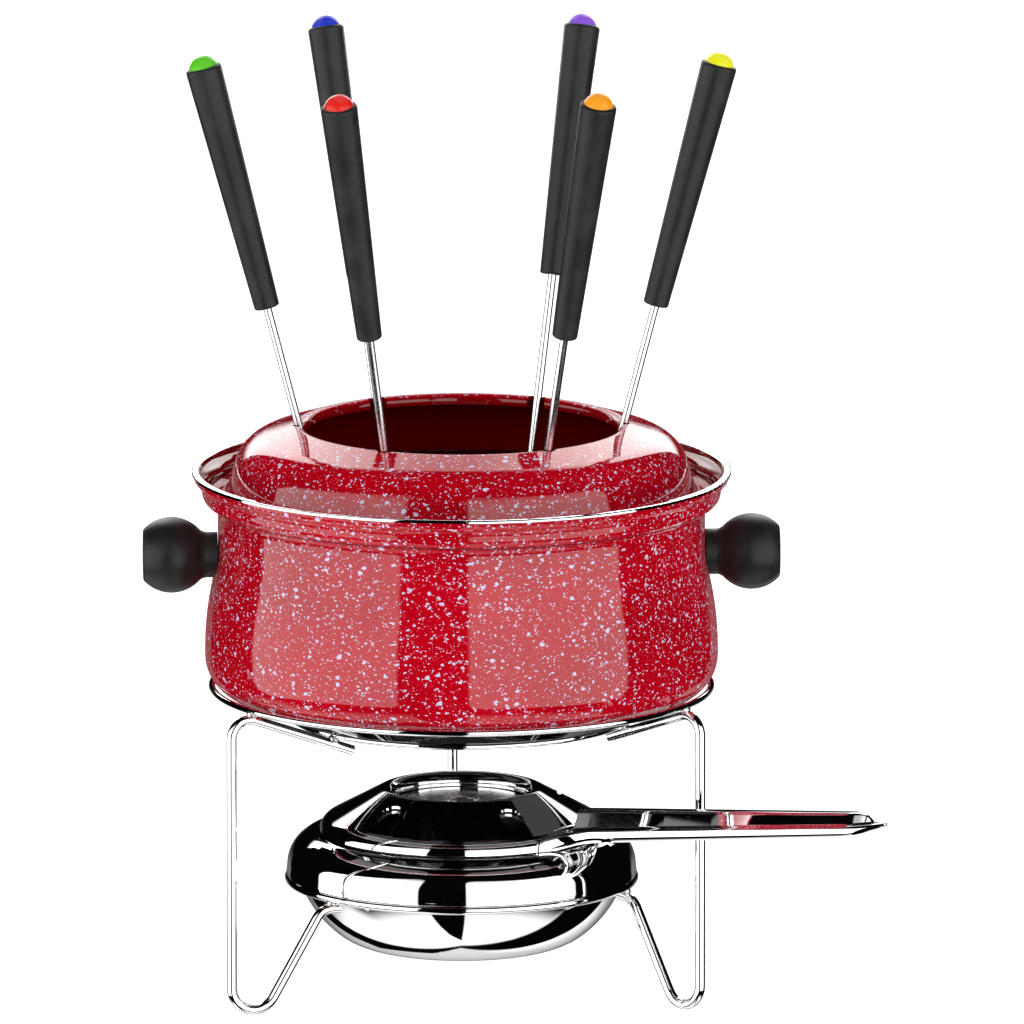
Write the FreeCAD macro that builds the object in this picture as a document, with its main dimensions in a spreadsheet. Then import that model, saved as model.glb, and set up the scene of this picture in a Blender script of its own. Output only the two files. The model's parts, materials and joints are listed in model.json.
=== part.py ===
import FreeCAD, Part
import math
import os
import Sketcher
from FreeCAD import Placement, Rotation, Vector

# A fondue set: a wire stand, an enamelled pot with a splash guard that also holds six forks, and a
# spirit burner with a vented regulator cover. Millimetres, +Z up. The origin is on the floor, on the
# vertical axis that the rings, the pot and the burner share. The front is -Y, the knobs lie along X.

doc = FreeCAD.newDocument("FondueSet")
sheet = doc.addObject("Spreadsheet::Sheet", "Sheet")

DIMENSIONS = [
    # stand
    ("leg_wire_r", 1.875, "leg wire radius"),
    ("ring_wire_r", 1.25, "wire radius of the two rings under the pot"),
    ("burner_wire_r", 1.65, "wire radius of the burner's ring"),
    ("post_r", 101.0, "distance of the upright posts from the axis"),
    ("leg_skew", 16.0, "turn of a leg's plane away from radial, degrees"),
    ("post_split_z", 60.0, "height at which a leg's two wire runs start"),
    ("arm_top_z", 112.1, "highest point of the upper arm's centreline"),
    ("arm_bend_r", 7.0, "bend from post to upper arm"),
    ("arm_slope", 19.5, "fall of the upper arm towards the axis, degrees"),
    ("arm_reach", 47.0, "reach of the upper arm from the post"),
    ("foot_bend_r", 8.6, "bend at the foot"),
    ("foot_rise", 60.0, "rise of the inner strut, degrees"),
    ("foot_flat", 0.25, "depth of the flat ground under each foot"),
    ("lower_arm_z", 38.55, "height of the lower arm"),
    ("lower_bend_r", 7.0, "bend from strut to lower arm"),
    ("lower_reach", 42.0, "reach of the lower arm from the post"),
    ("outer_ring_r", 93.4, "ring that locates the pot's bottom curve"),
    ("support_ring_r", 63.8, "ring that carries the pot"),
    ("burner_ring_r", 64.6, "ring that carries the burner"),
    ("weld_gap", 0.1, "gap between crossing wires, filled by the weld"),
    ("weld_r", 2.1, "radius of a weld bead"),
    # pot
    ("pot_base_z", 105.95, "underside of the pot"),
    ("pot_wall", 1.6, "wall of the pot"),
    ("pot_flat_r", 66.0, "flat part of the bottom"),
    ("pot_heel_r", 12.0, "curve from the flat to the bottom's cone"),
    ("pot_cone", 22.0, "rise of that cone over the stand's arms, degrees"),
    ("pot_cone_run", 17.4, "length of the cone"),
    ("pot_corner_r", 15.0, "bottom corner"),
    ("belly_rise", 2.8, "upright stretch above the corner"),
    ("belly_r", 115.0, "long curve of the side"),
    ("belly_turn", 12.2, "lean of the side towards the neck, degrees"),
    ("belly_run", 6.6, "straight stretch of the side"),
    ("neck_blend_r", 40.0, "curve from side to neck"),
    ("neck_rise", 12.1, "upright neck"),
    ("collar_blend_r", 4.0, "each curve of the step to the collar"),
    ("collar_turn", 75.0, "turn of each curve of that step, degrees"),
    ("collar_rise", 1.0, "upright collar"),
    ("rim_blend_r", 3.2, "each curve of the flare to the rim"),
    ("rim_turn", 60.0, "turn of each curve of that flare, degrees"),
    ("rim_rise", 1.1, "upright edge that the trim holds"),
    ("trim_wall", 0.6, "wall of the trim band"),
    ("trim_drop", 0.5, "how far the trim reaches down the pot's edge"),
    ("fit_gap", 0.05, "gap of a pressed or screwed fit"),
    # knobs
    ("knob_z", 165.5, "height of the knobs' axis"),
    ("knob_start", 91.35, "neck's end face, from the pot's axis"),
    ("knob_neck_r", 8.55, "neck of the knob"),
    ("knob_blend_r", 4.0, "blend from neck to ball"),
    ("knob_ball_r", 14.2, "ball of the knob"),
    ("knob_ball_x", 108.5, "centre of the ball, from the pot's axis"),
    ("knob_flat_angle", 46.0, "where the ball stops for its end face, degrees"),
    ("knob_edge_r", 1.5, "rounding round the end face"),
    ("insert_r", 4.0, "threaded insert"),
    ("insert_length", 12.0, "depth of the bore for the threaded insert"),
    ("insert_back", 1.2, "distance of the insert from the pot's wall"),
    ("stud_r", 2.45, "stud on the pot's wall"),
    ("stud_length", 11.0, "length of the stud"),
    # splash guard
    ("guard_wall", 1.4, "wall of the guard"),
    ("guard_edge_r", 94.0, "edge of the seating flange"),
    ("guard_edge_z", 188.6, "top of the seating flange"),
    ("guard_flange", 4.4, "flat of the seating flange"),
    ("guard_foot_r", 2.0, "curve from flange to skirt"),
    ("guard_lean", 16.0, "lean of the skirt, degrees"),
    ("guard_skirt", 10.4, "length of the skirt"),
    ("guard_shoulder_r", 16.0, "shoulder"),
    ("guard_crown", 17.0, "rise of the crown towards the opening, degrees"),
    ("guard_crown_run", 12.4, "length of the crown"),
    ("guard_lip_r", 2.6, "curled lip of the opening"),
    ("guard_lip_drop", 1.2, "upright end of the lip"),
    ("notch_width", 7.5, "width of a fork notch"),
    ("notch_r", 63.0, "bottom of a fork notch, from the axis"),
    # forks
    ("fork_lean", 14.6, "lean of a fork, degrees"),
    ("fork_notch_r", 60.6, "fork's axis in its notch, from the pot's axis"),
    ("fork_notch_z", 213.5, "height at which that is measured"),
    ("fork_tip_z", 108.4, "height of the tine ends"),
    ("shank_r", 1.55, "shank"),
    ("shank_bare", 47.5, "bare shank between notch and handle"),
    ("tang_length", 30.0, "shank inside the handle"),
    ("tine_x", 2.9, "middle of a tine, from the fork's axis"),
    ("tine_half", 0.7, "half the width of a tine"),
    ("tine_length", 22.0, "length of a tine"),
    ("tine_thick", 1.5, "thickness of the flattened end"),
    ("crown_length", 8.0, "length of the solid end behind the tines"),
    ("grip_length", 94.5, "length of a handle"),
    ("grip_low_r", 4.75, "lower end of a handle"),
    ("grip_top_r", 6.8, "upper end of a handle"),
    ("grip_low_edge", 0.8, "rounding of the lower end"),
    ("grip_top_edge", 1.2, "rounding of the upper end"),
    ("cap_r", 5.5, "coloured cap"),
    ("cap_rise", 4.1, "height of the cap's dome"),
    ("cap_depth", 6.0, "spigot of the cap"),
    # burner
    ("burner_wall", 0.8, "sheet of the burner"),
    ("bowl_base_z", 16.7, "underside of the bowl"),
    ("bowl_flat_r", 31.7, "flat of the bowl"),
    ("bowl_corner_r", 25.0, "bottom corner of the bowl"),
    ("bowl_corner_turn", 38.0, "turn of that corner, degrees"),
    ("bowl_side_r", 42.0, "side of the bowl"),
    ("bowl_side_turn", 34.7, "turn of the side, degrees"),
    ("bowl_flange_blend", 2.0, "curve from side to flange"),
    ("bowl_flange", 2.4, "flange that rests on the ring"),
    ("upper_edge_r", 65.6, "lower edge of the upper shell"),
    ("upper_edge_z", 44.95, "height of that edge"),
    ("upper_rise", 3.5, "steep stretch of the upper shell"),
    ("upper_shoulder_r", 13.0, "shoulder of the upper shell"),
    ("upper_shoulder_turn", 50.0, "turn of that shoulder, degrees"),
    ("upper_slope_run", 1.5, "sloping stretch of the upper shell"),
    ("upper_crest_r", 6.0, "curve to the flat seat"),
    ("upper_seat", 4.2, "flat seat of the regulator"),
    ("mouth_lip_r", 1.5, "curl of the mouth"),
    ("mouth_lip_drop", 2.0, "upright end of the mouth"),
    ("cover_edge_r", 53.4, "edge of the regulator cover"),
    ("cover_edge_z", 60.5, "height of that edge"),
    ("cover_lean", 15.0, "lean of the cover's edge, degrees"),
    ("cover_rise", 1.0, "steep stretch of the cover"),
    ("cover_shoulder_r", 7.0, "shoulder of the cover"),
    ("cover_slope", 28.4, "slope of the cover, degrees"),
    ("cover_run", 21.6, "length of the slope"),
    ("cover_lip_r", 4.0, "curl of the flame opening"),
    ("cover_lip_drop", 1.5, "upright end of that curl"),
    ("vent_r", 4.7, "vent hole"),
    ("vent_from_axis", 39.5, "vent holes, from the axis"),
    ("damper_r", 49.3, "skirt of the fixed damper"),
    ("damper_low_z", 57.2, "lower edge of the damper"),
    ("damper_bend_z", 62.1, "top of the damper's skirt"),
    ("damper_shoulder_r", 3.5, "shoulder of the damper"),
    ("damper_run", 16.5, "slope of the damper"),
    ("cup_r", 23.6, "fuel cup"),
    ("cup_low_z", 18.0, "underside of the fuel cup"),
    ("cup_top_z", 70.5, "top of the fuel cup"),
    ("pad_top_z", 64.0, "top of the absorbent pad"),
    ("wick_r", 7.0, "flame hole in the cup's ring"),
    ("gauze_rise", 2.2, "height of the domed gauze"),
    ("gauze_wall", 0.4, "sheet of the gauze"),
    ("gauze_hole_r", 0.7, "hole in the gauze"),
    ("gauze_hole_step", 2.3, "step from one ring of holes to the next"),
    # regulator handle
    ("handle_angle", -38.0, "direction of the handle, degrees from +X"),
    ("handle_pitch", 6.9, "rise of the handle, degrees"),
    ("handle_root_z", 58.6, "height of the handle's plane on the axis"),
    ("handle_start", 42.0, "start of the stamping, from the axis"),
    ("handle_end", 197.0, "tip, from the axis"),
    ("root_half", 18.0, "half the width at the root"),
    ("waist_x", 74.0, "where the root flare ends"),
    ("waist_half", 9.4, "half the width there"),
    ("tip_half", 7.6, "half the width near the tip"),
    ("flare_length", 14.0, "last stretch of the root flare"),
    ("flare_half", 2.0, "widening over that stretch, each side"),
    ("tip_length", 14.0, "length of the pointed tip"),
    ("nose_length", 3.0, "blunt end of the tip"),
    ("brim", 2.4, "width of the handle's flat brim"),
    ("spine_height", 7.2, "height of the raised spine"),
    ("spine_edge_r", 1.3, "rounding of the spine"),
    ("handle_sheet", 0.9, "sheet of the handle"),
]

for row, (alias, number, meaning) in enumerate(DIMENSIONS, start=1):
    sheet.set(f"A{row}", meaning)
    sheet.set(f"B{row}", str(number))
    sheet.setAlias(f"B{row}", alias)
doc.recompute()


class Size:
    """A number together with the sheet expression that it comes from."""

    def __init__(self, value, text):
        self.value = value
        self.text = text

    def __add__(self, other):
        other = as_size(other)
        return Size(self.value + other.value, f"({self.text} + {other.text})")

    def __sub__(self, other):
        other = as_size(other)
        return Size(self.value - other.value, f"({self.text} - {other.text})")

    def __mul__(self, other):
        other = as_size(other)
        return Size(self.value * other.value, f"({self.text} * {other.text})")

    def __truediv__(self, other):
        other = as_size(other)
        return Size(self.value / other.value, f"({self.text} / {other.text})")

    def __neg__(self):
        return as_size(0) - self

    __radd__ = __add__

    def __rsub__(self, other):
        return as_size(other) - self

    __rmul__ = __mul__


def as_size(number):
    return number if isinstance(number, Size) else Size(float(number), f"{number:.6g}")


def sine(angle):
    angle = as_size(angle)
    return Size(math.sin(math.radians(angle.value)), f"sin({angle.text})")


def cosine(angle):
    angle = as_size(angle)
    return Size(math.cos(math.radians(angle.value)), f"cos({angle.text})")


def root(number):
    return Size(math.sqrt(number.value), f"sqrt({number.text})")


def arcsine(part, whole):
    angle = math.degrees(math.asin(part.value / whole.value))
    return Size(angle, f"asin({part.text} / {whole.text}) / 1deg")


def arccosine(part, whole):
    return 90 - arcsine(part, whole)


D = {alias: Size(number, f"Sheet.{alias}") for alias, number, _ in DIMENSIONS}


class Track:
    """An outline drawn as a walk: straight and round stretches from a start point and heading."""

    def __init__(self, x, y, heading=0):
        self.start = (as_size(x), as_size(y))
        self.point = self.start
        self.heading = as_size(heading)
        self.first_heading = self.heading
        self.steps = []
        self.moves = []

    def line(self, length):
        x, y = self.point
        end = (x + cosine(self.heading) * length, y + sine(self.heading) * length)
        self.moves.append(("line", length))
        return self.to(*end)

    def to(self, x, y):
        self.point = (as_size(x), as_size(y))
        self.steps.append((self.point, None))
        return self

    def arc(self, radius, turn):
        """A round stretch: a positive turn bends left, a negative one right."""
        radius, turn = as_size(radius), as_size(turn)
        side = 1 if turn.value > 0 else -1
        x, y = self.point
        across = radius * side
        centre = (x - sine(self.heading) * across, y + cosine(self.heading) * across)
        self.heading = self.heading + turn
        self.moves.append(("arc", radius, turn))
        self.point = (centre[0] + sine(self.heading) * across, centre[1] - cosine(self.heading) * across)
        self.steps.append((self.point, (centre, radius, side)))
        return self

    def beside(self, distance):
        """The same walk, a distance to the left."""
        x, y = self.start
        copy = Track(
            x - sine(self.first_heading) * distance,
            y + cosine(self.first_heading) * distance,
            self.first_heading,
        )
        for kind, *size in self.moves:
            if kind == "line":
                copy.line(size[0])
            else:
                side = 1 if size[1].value > 0 else -1
                copy.arc(size[0] - distance * side, size[1])
        return copy

    def back(self, other):
        """Goes to the end of another walk and along it to its start."""
        self.to(*other.point)
        points = [other.start] + [end for end, _ in other.steps]
        for (_, bend), before in zip(reversed(other.steps), reversed(points[:-1])):
            reverse = None if bend is None else (bend[0], bend[1], -bend[2])
            self.point = before
            self.steps.append((before, reverse))
        return self


def sheet_profile(track, wall):
    """The closed section of a sheet whose right-hand face is the track."""
    return track.back(track.beside(wall))


def origin_plane(body, role):
    return next(f for f in body.Origin.OriginFeatures if f.Role == role)


def place_along(sketch, kind, geometry, end, size):
    """Ties one coordinate of a vertex to its sheet expression, or to the axis that it lies on."""
    if abs(size.value) < 1e-9:
        axis = -2 if kind == "DistanceX" else -1
        sketch.addConstraint(Sketcher.Constraint("PointOnObject", geometry, end, axis))
        return
    index = sketch.addConstraint(Sketcher.Constraint(kind, -1, 1, geometry, end, size.value))
    sketch.setExpression(f"Constraints[{index}]", size.text)


def place_vertex(sketch, geometry, end, point):
    place_along(sketch, "DistanceX", geometry, end, point[0])
    place_along(sketch, "DistanceY", geometry, end, point[1])


def size_arc(sketch, index, chord, centre, radius):
    """Fixes an arc between two held ends: by its radius, or a half circle by its centre."""
    if chord.Length < radius.value * 1.999:
        held = sketch.addConstraint(Sketcher.Constraint("Radius", index, radius.value))
        sketch.setExpression(f"Constraints[{held}]", radius.text)
    elif abs(chord.x) < abs(chord.y):
        place_along(sketch, "DistanceX", index, 3, centre[0])
    else:
        place_along(sketch, "DistanceY", index, 3, centre[1])


def draw(body, name, role, track, closed=True):
    """A sketch of the track on one of the body's origin planes."""
    sketch = body.newObject("Sketcher::SketchObject", name)
    sketch.AttachmentSupport = [(origin_plane(body, role), "")]
    sketch.MapMode = "FlatFace"
    steps = list(track.steps)
    if closed:
        gap = [abs(a.value - b.value) for a, b in zip(track.point, track.start)]
        if max(gap) > 1e-6:
            steps.append((track.start, None))
    before = track.start
    tail = None
    for count, (end, bend) in enumerate(steps):
        p, q = (Vector(at[0].value, at[1].value, 0) for at in (before, end))
        if bend is None:
            index = sketch.addGeometry(Part.LineSegment(p, q), False)
            first, last = 1, 2
        else:
            (cx, cy), radius, side = bend
            centre = Vector(cx.value, cy.value, 0)
            first, last = (1, 2) if side > 0 else (2, 1)
            p_angle = math.atan2(p.y - centre.y, p.x - centre.x)
            q_angle = math.atan2(q.y - centre.y, q.x - centre.x)
            angles = (p_angle, q_angle) if side > 0 else (q_angle, p_angle)
            circle = Part.Circle(centre, Vector(0, 0, 1), radius.value)
            index = sketch.addGeometry(Part.ArcOfCircle(circle, *angles), False)
            size_arc(sketch, index, q - p, (cx, cy), radius)
        if tail is not None:
            sketch.addConstraint(Sketcher.Constraint("Coincident", *tail, index, first))
        place_vertex(sketch, index, first, before)
        if count == 0:
            head = (index, first)
        tail = (index, last)
        before = end
    if closed:
        sketch.addConstraint(Sketcher.Constraint("Coincident", *tail, *head))
    else:
        place_vertex(sketch, *tail, before)
    return sketch


def new_body(name):
    body = doc.addObject("PartDesign::Body", name)
    body.Label = name
    return body


def revolve(body, track, name="Section"):
    sketch = draw(body, name, "XZ_Plane", track)
    turned = body.newObject("PartDesign::Revolution", name + "Turned")
    turned.Profile = sketch
    turned.ReferenceAxis = (sketch, ["V_Axis"])
    turned.Angle = 360
    return turned


def turned_body(name, track):
    body = new_body(name)
    revolve(body, track)
    return body


def bind(item, prop, size):
    item.setExpression(prop, size.text)


def circle_sketch(body, name, role, x, radius):
    """A round hole's outline on one of the body's origin planes, at x from the origin."""
    sketch = body.newObject("Sketcher::SketchObject", name)
    sketch.AttachmentSupport = [(origin_plane(body, role), "")]
    sketch.MapMode = "FlatFace"
    circle = Part.Circle(Vector(x.value, 0, 0), Vector(0, 0, 1), radius.value)
    sketch.addGeometry(circle, False)
    sketch.addConstraint(Sketcher.Constraint("PointOnObject", 0, 3, -1))
    if x.value:
        at = sketch.addConstraint(Sketcher.Constraint("DistanceX", -1, 1, 0, 3, x.value))
        sketch.setExpression(f"Constraints[{at}]", x.text)
    else:
        sketch.addConstraint(Sketcher.Constraint("PointOnObject", 0, 3, -2))
    wide = sketch.addConstraint(Sketcher.Constraint("Radius", 0, radius.value))
    sketch.setExpression(f"Constraints[{wide}]", radius.text)
    return sketch


def cut_round(body, sketch, count, name):
    """Cuts the sketch upwards through everything, repeated evenly about the vertical axis."""
    cut = body.newObject("PartDesign::Pocket", name)
    cut.Profile = sketch
    cut.Type = "ThroughAll"
    cut.Reversed = True
    doc.recompute()
    pattern = body.newObject("PartDesign::PolarPattern", name + "Pattern")
    pattern.Originals = [cut]
    pattern.Axis = (sketch, ["N_Axis"])
    pattern.Angle = 360
    pattern.Occurrences = count
    body.Tip = pattern
    doc.recompute()
    return pattern


def on_axis(distance, angle, height=0.0):
    turn = math.radians(angle)
    return Vector(distance * math.cos(turn), distance * math.sin(turn), height)


PARTS = []


def keep(item, label):
    item.Label = label
    PARTS.append(item)
    return item


# ---------------------------------------------------------------- stand

LEG_ANGLES = (210.0, 330.0, 90.0)
wire_r = D["leg_wire_r"]


def pipe(body, name, track, radius):
    """A round wire along a track that starts at the body's origin, along its vertical axis."""
    path = draw(body, name + "Path", "XZ_Plane", track, closed=False)
    section = circle_sketch(body, name + "Section", "XY_Plane", as_size(0), radius)
    wire = body.newObject("PartDesign::AdditivePipe", name)
    wire.Profile = section
    wire.Spine = (path, [f"Edge{n + 1}" for n in range(len(track.steps))])
    doc.recompute()
    return wire


def leg(name, angle):
    """A bent wire: upper arm, bend, post, foot, strut and lower arm, all in one skewed plane."""
    body = new_body(name)
    rise, slope = D["foot_rise"], D["arm_slope"]
    up = Track(0, 0, 90).line(D["arm_top_z"] - D["arm_bend_r"] - D["post_split_z"])
    up.arc(D["arm_bend_r"], -(90 + slope))
    up.line((D["arm_reach"] - up.point[0]) / cosine(slope))
    pipe(body, "UpperRun", up, wire_r)

    foot_centre_z = D["foot_bend_r"] + wire_r - D["foot_flat"]
    down = Track(0, 0, -90).line(D["post_split_z"] - foot_centre_z)
    down.arc(D["foot_bend_r"], 90 + rise)
    climb = D["lower_arm_z"] - D["post_split_z"] - down.point[1]
    down.line((climb - D["lower_bend_r"] * (1 - cosine(rise))) / sine(rise))
    down.arc(D["lower_bend_r"], -rise)
    down.line(D["lower_reach"] - down.point[0])
    pipe(body, "LowerRun", down, wire_r)

    floor = -D["post_split_z"]
    flat = Track(0, floor).to(D["foot_bend_r"] * 2, floor)
    flat.to(D["foot_bend_r"] * 2, floor - wire_r).to(0, floor - wire_r)
    sketch = draw(body, "FootFlat", "XZ_Plane", flat)
    cut = body.newObject("PartDesign::Pocket", "FootCut")
    cut.Profile = sketch
    cut.SideType = "Symmetric"
    bind(cut, "Length", wire_r * 4)

    heading = angle + 180 - D["leg_skew"].value
    spot = on_axis(D["post_r"].value, angle, D["post_split_z"].value)
    body.Placement = Placement(spot, Rotation(Vector(0, 0, 1), heading))
    return keep(body, name)


def crossing(ring_r):
    """How far along a leg's plane, from the post, a ring crosses it."""
    offset = D["post_r"] * sine(D["leg_skew"])
    return D["post_r"] * cosine(D["leg_skew"]) - root(ring_r * ring_r - offset * offset)


legs = [leg(f"stand_leg_{n}", angle) for n, angle in enumerate(LEG_ANGLES, start=1)]

arm_bend_end = D["arm_bend_r"] * (1 + sine(D["arm_slope"]))
arm_end_z = D["arm_top_z"] - D["arm_bend_r"] * (1 - cosine(D["arm_slope"]))
arm_fall = sine(D["arm_slope"]) / cosine(D["arm_slope"])
support_arm_z = arm_end_z - (crossing(D["support_ring_r"]) - arm_bend_end) * arm_fall
pot_wire, burner_wire = D["ring_wire_r"], D["burner_wire_r"]
pot_stack = wire_r + pot_wire + D["weld_gap"]
burner_stack = wire_r + burner_wire + D["weld_gap"]
support_z = support_arm_z + pot_stack / cosine(D["arm_slope"])
RINGS = [
    ("stand_outer_ring", D["outer_ring_r"], pot_wire, D["arm_top_z"] + pot_stack),
    ("stand_support_ring", D["support_ring_r"], pot_wire, support_z),
    ("stand_burner_ring", D["burner_ring_r"], burner_wire, D["lower_arm_z"] + burner_stack),
]

beads = []
for ring_name, ring_r, ring_wire, ring_z in RINGS:
    ring = doc.addObject("Part::Torus", ring_name)
    bind(ring, "Radius1", ring_r)
    bind(ring, "Radius2", ring_wire)
    bind(ring, ".Placement.Base.z", ring_z)
    keep(ring, ring_name)
    along = crossing(ring_r).value
    skew = math.radians(D["leg_skew"].value)
    inward = D["post_r"].value - along * math.cos(skew)
    swing = math.degrees(math.atan2(along * math.sin(skew), inward))
    for part, angle in zip(legs, LEG_ANGLES):
        ball = doc.addObject("Part::Sphere", "WeldBall")
        bind(ball, "Radius", D["weld_r"])
        ball.Placement.Base = on_axis(ring_r.value, angle + swing)
        bind(ball, ".Placement.Base.z", ring_z - ring_wire)
        under_ring = doc.addObject("Part::Cut", "WeldUnderRing")
        under_ring.Base = ball
        under_ring.Tool = ring
        bead = doc.addObject("Part::Cut", "WeldBead")
        bead.Base = under_ring
        bead.Tool = part
        beads.append(bead)
welds = doc.addObject("Part::Compound", "stand_weld_beads")
welds.Links = beads
keep(welds, "stand_weld_beads")
doc.recompute()

# ---------------------------------------------------------------- pot


def step_out(track, radius, turn):
    """Two equal curves that carry an upright wall outwards."""
    return track.arc(radius, -turn).arc(radius, turn)


pot = Track(0, D["pot_base_z"]).line(D["pot_flat_r"])
pot.arc(D["pot_heel_r"], D["pot_cone"]).line(D["pot_cone_run"])
pot.arc(D["pot_corner_r"], 90 - D["pot_cone"]).line(D["belly_rise"])
pot.arc(D["belly_r"], D["belly_turn"]).line(D["belly_run"])
pot.arc(D["neck_blend_r"], -D["belly_turn"]).line(D["neck_rise"])
step_out(pot, D["collar_blend_r"], D["collar_turn"]).line(D["collar_rise"])
step_out(pot, D["rim_blend_r"], D["rim_turn"]).line(D["rim_rise"])
edge_r, edge_z = pot.point
pot_body = keep(turned_body("pot_body", sheet_profile(pot, D["pot_wall"])), "pot_body")

gap = D["fit_gap"]
wall = D["trim_wall"]
slot_out = edge_r + gap
slot_in = edge_r - D["pot_wall"] - gap
low = edge_z - D["trim_drop"]
trim = Track(slot_out, low).to(slot_out, edge_z + gap).to(slot_in, edge_z + gap).to(slot_in, low)
trim.to(slot_in - wall, low)
trim.heading = as_size(90)
trim.line(D["trim_drop"] + gap).arc(wall, -90).line(D["pot_wall"] + gap * 2).arc(wall, -90)
trim.line(D["trim_drop"] + gap)
keep(turned_body("pot_rim_trim", trim), "pot_rim_trim")

SIDES = (("left", 180.0), ("right", 0.0))


def sideways(body, angle, height):
    """Lays a turned body's vertical axis along a direction in the XY plane."""
    tilt = Rotation(Vector(0, 0, 1), angle).multiply(Rotation(Vector(0, 1, 0), 90))
    body.Placement = Placement(Vector(0, 0, height), tilt)


def without(base, tool, label):
    cut = doc.addObject("Part::Cut", label)
    cut.Base = base
    cut.Tool = tool
    return keep(cut, label)


for side, angle in SIDES:
    ball_r, blend_r, start = D["knob_ball_r"], D["knob_blend_r"], D["knob_start"]
    reach = ball_r + blend_r
    across = D["knob_neck_r"] + blend_r
    blend_y = D["knob_ball_x"] - root(reach * reach - across * across)
    blend_turn = arccosine(across, reach)
    bore_end = start + D["insert_length"]
    knob = Track(0, bore_end).to(D["insert_r"], bore_end).to(D["insert_r"], start)
    knob.to(D["knob_neck_r"], start)
    knob.heading = as_size(90)
    knob.line(blend_y - start).arc(blend_r, -blend_turn)
    knob.arc(ball_r, blend_turn + D["knob_flat_angle"])
    knob.arc(D["knob_edge_r"], 90 - D["knob_flat_angle"])
    knob.to(0, knob.point[1])
    raw_knob = turned_body(f"knob_raw_{side}", knob)
    sideways(raw_knob, angle, D["knob_z"].value)
    without(raw_knob, pot_body, f"knob_{side}")

    nut_start = start + D["insert_back"]
    nut = Track(D["stud_r"] + gap, nut_start).to(D["insert_r"] - gap, nut_start)
    nut.to(D["insert_r"] - gap, bore_end - gap).to(D["stud_r"] + gap, bore_end - gap)
    insert = keep(turned_body(f"knob_insert_{side}", nut), f"knob_insert_{side}")
    sideways(insert, angle, D["knob_z"].value)

    stud_end = start + D["stud_length"]
    pin = Track(0, start).to(D["stud_r"], start).to(D["stud_r"], stud_end).to(0, stud_end)
    raw_stud = turned_body(f"stud_raw_{side}", pin)
    sideways(raw_stud, angle, D["knob_z"].value)
    without(raw_stud, pot_body, f"knob_stud_{side}")

# ---------------------------------------------------------------- splash guard

FORK_COUNT = 6
guard = Track(D["guard_edge_r"], D["guard_edge_z"], 180).line(D["guard_flange"])
guard.arc(D["guard_foot_r"], D["guard_lean"] - 90).line(D["guard_skirt"])
guard.arc(D["guard_shoulder_r"], 90 - D["guard_lean"] - D["guard_crown"]).line(D["guard_crown_run"])
guard.arc(D["guard_lip_r"], 90 + D["guard_crown"]).line(D["guard_lip_drop"])
guard_body = keep(turned_body("splash_guard", sheet_profile(guard, D["guard_wall"])), "splash_guard")

half = D["notch_width"] / 2
notch = Track(D["notch_r"] / 2, -half).line(D["notch_r"] / 2 - half).arc(half, 180)
notch.line(D["notch_r"] / 2 - half)
cut_round(guard_body, draw(guard_body, "Notch", "XY_Plane", notch), FORK_COUNT, "NotchCut")

# ---------------------------------------------------------------- forks

fork_lean = D["fork_lean"]
notch_s = (D["fork_notch_z"] - D["fork_tip_z"]) / cosine(fork_lean)
grip_low = notch_s + D["shank_bare"]
grip_top = grip_low + D["grip_length"]
shank_r = D["shank_r"]


def tine_outline():
    """The flattened end: two pointed tines, a round-bottomed gap and a crown."""
    x, w, length = D["tine_x"], D["tine_half"], D["tine_length"]
    shoulder = length + D["crown_length"] / 2
    neck = length + D["crown_length"]
    point = w * 4
    track = Track(x, 0).to(x + w, point).to(x + w, shoulder).to(shank_r, neck)
    track.to(-shank_r, neck).to(-(x + w), shoulder).to(-(x + w), point).to(-x, 0)
    track.to(-(x - w), point).to(-(x - w), length)
    track.heading = as_size(90)
    track.arc(x - w, -180).to(x - w, point)
    return track


def fork_placement(angle):
    tilt = Rotation(Vector(0, 0, 1), angle).multiply(Rotation(Vector(0, 1, 0), fork_lean.value))
    tip_r = D["fork_notch_r"].value - notch_s.value * math.sin(math.radians(fork_lean.value))
    return Placement(on_axis(tip_r, angle, D["fork_tip_z"].value), tilt)


def fork_shank():
    rod = Track(0, D["tine_length"] + D["crown_length"] / 2)
    rod.to(shank_r, rod.point[1]).to(shank_r, grip_low + D["tang_length"])
    rod.to(0, rod.point[1])
    body = turned_body("Shank", rod)
    sketch = draw(body, "Tines", "YZ_Plane", tine_outline())
    blade = body.newObject("PartDesign::Pad", "TinePad")
    blade.Profile = sketch
    blade.SideType = "Symmetric"
    bind(blade, "Length", D["tine_thick"])
    return body


def fork_handle():
    bore = shank_r + gap
    low_edge, top_edge = D["grip_low_edge"], D["grip_top_edge"]
    bore_end = grip_low + D["tang_length"] + gap
    socket = D["cap_r"] + gap
    grip = Track(0, bore_end).to(bore, bore_end).to(bore, grip_low)
    grip.line(D["grip_low_r"] - low_edge - bore).arc(low_edge, 90)
    grip.to(D["grip_top_r"], grip_top - top_edge)
    grip.heading = as_size(90)
    grip.arc(top_edge, 90).to(socket, grip_top)
    grip.to(socket, grip_top - D["cap_depth"]).to(0, grip_top - D["cap_depth"])
    return turned_body("Grip", grip)


def fork_cap():
    cap_r, rise = D["cap_r"], D["cap_rise"]
    dome_r = (cap_r * cap_r + rise * rise) / (rise * 2)
    edge_angle = arcsine(cap_r, dome_r)
    foot = grip_top - D["cap_depth"] + gap
    cap = Track(0, foot).to(cap_r, foot).to(cap_r, grip_top + gap)
    cap.heading = 180 - edge_angle
    cap.arc(dome_r, edge_angle)
    return turned_body("Cap", cap)


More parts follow.
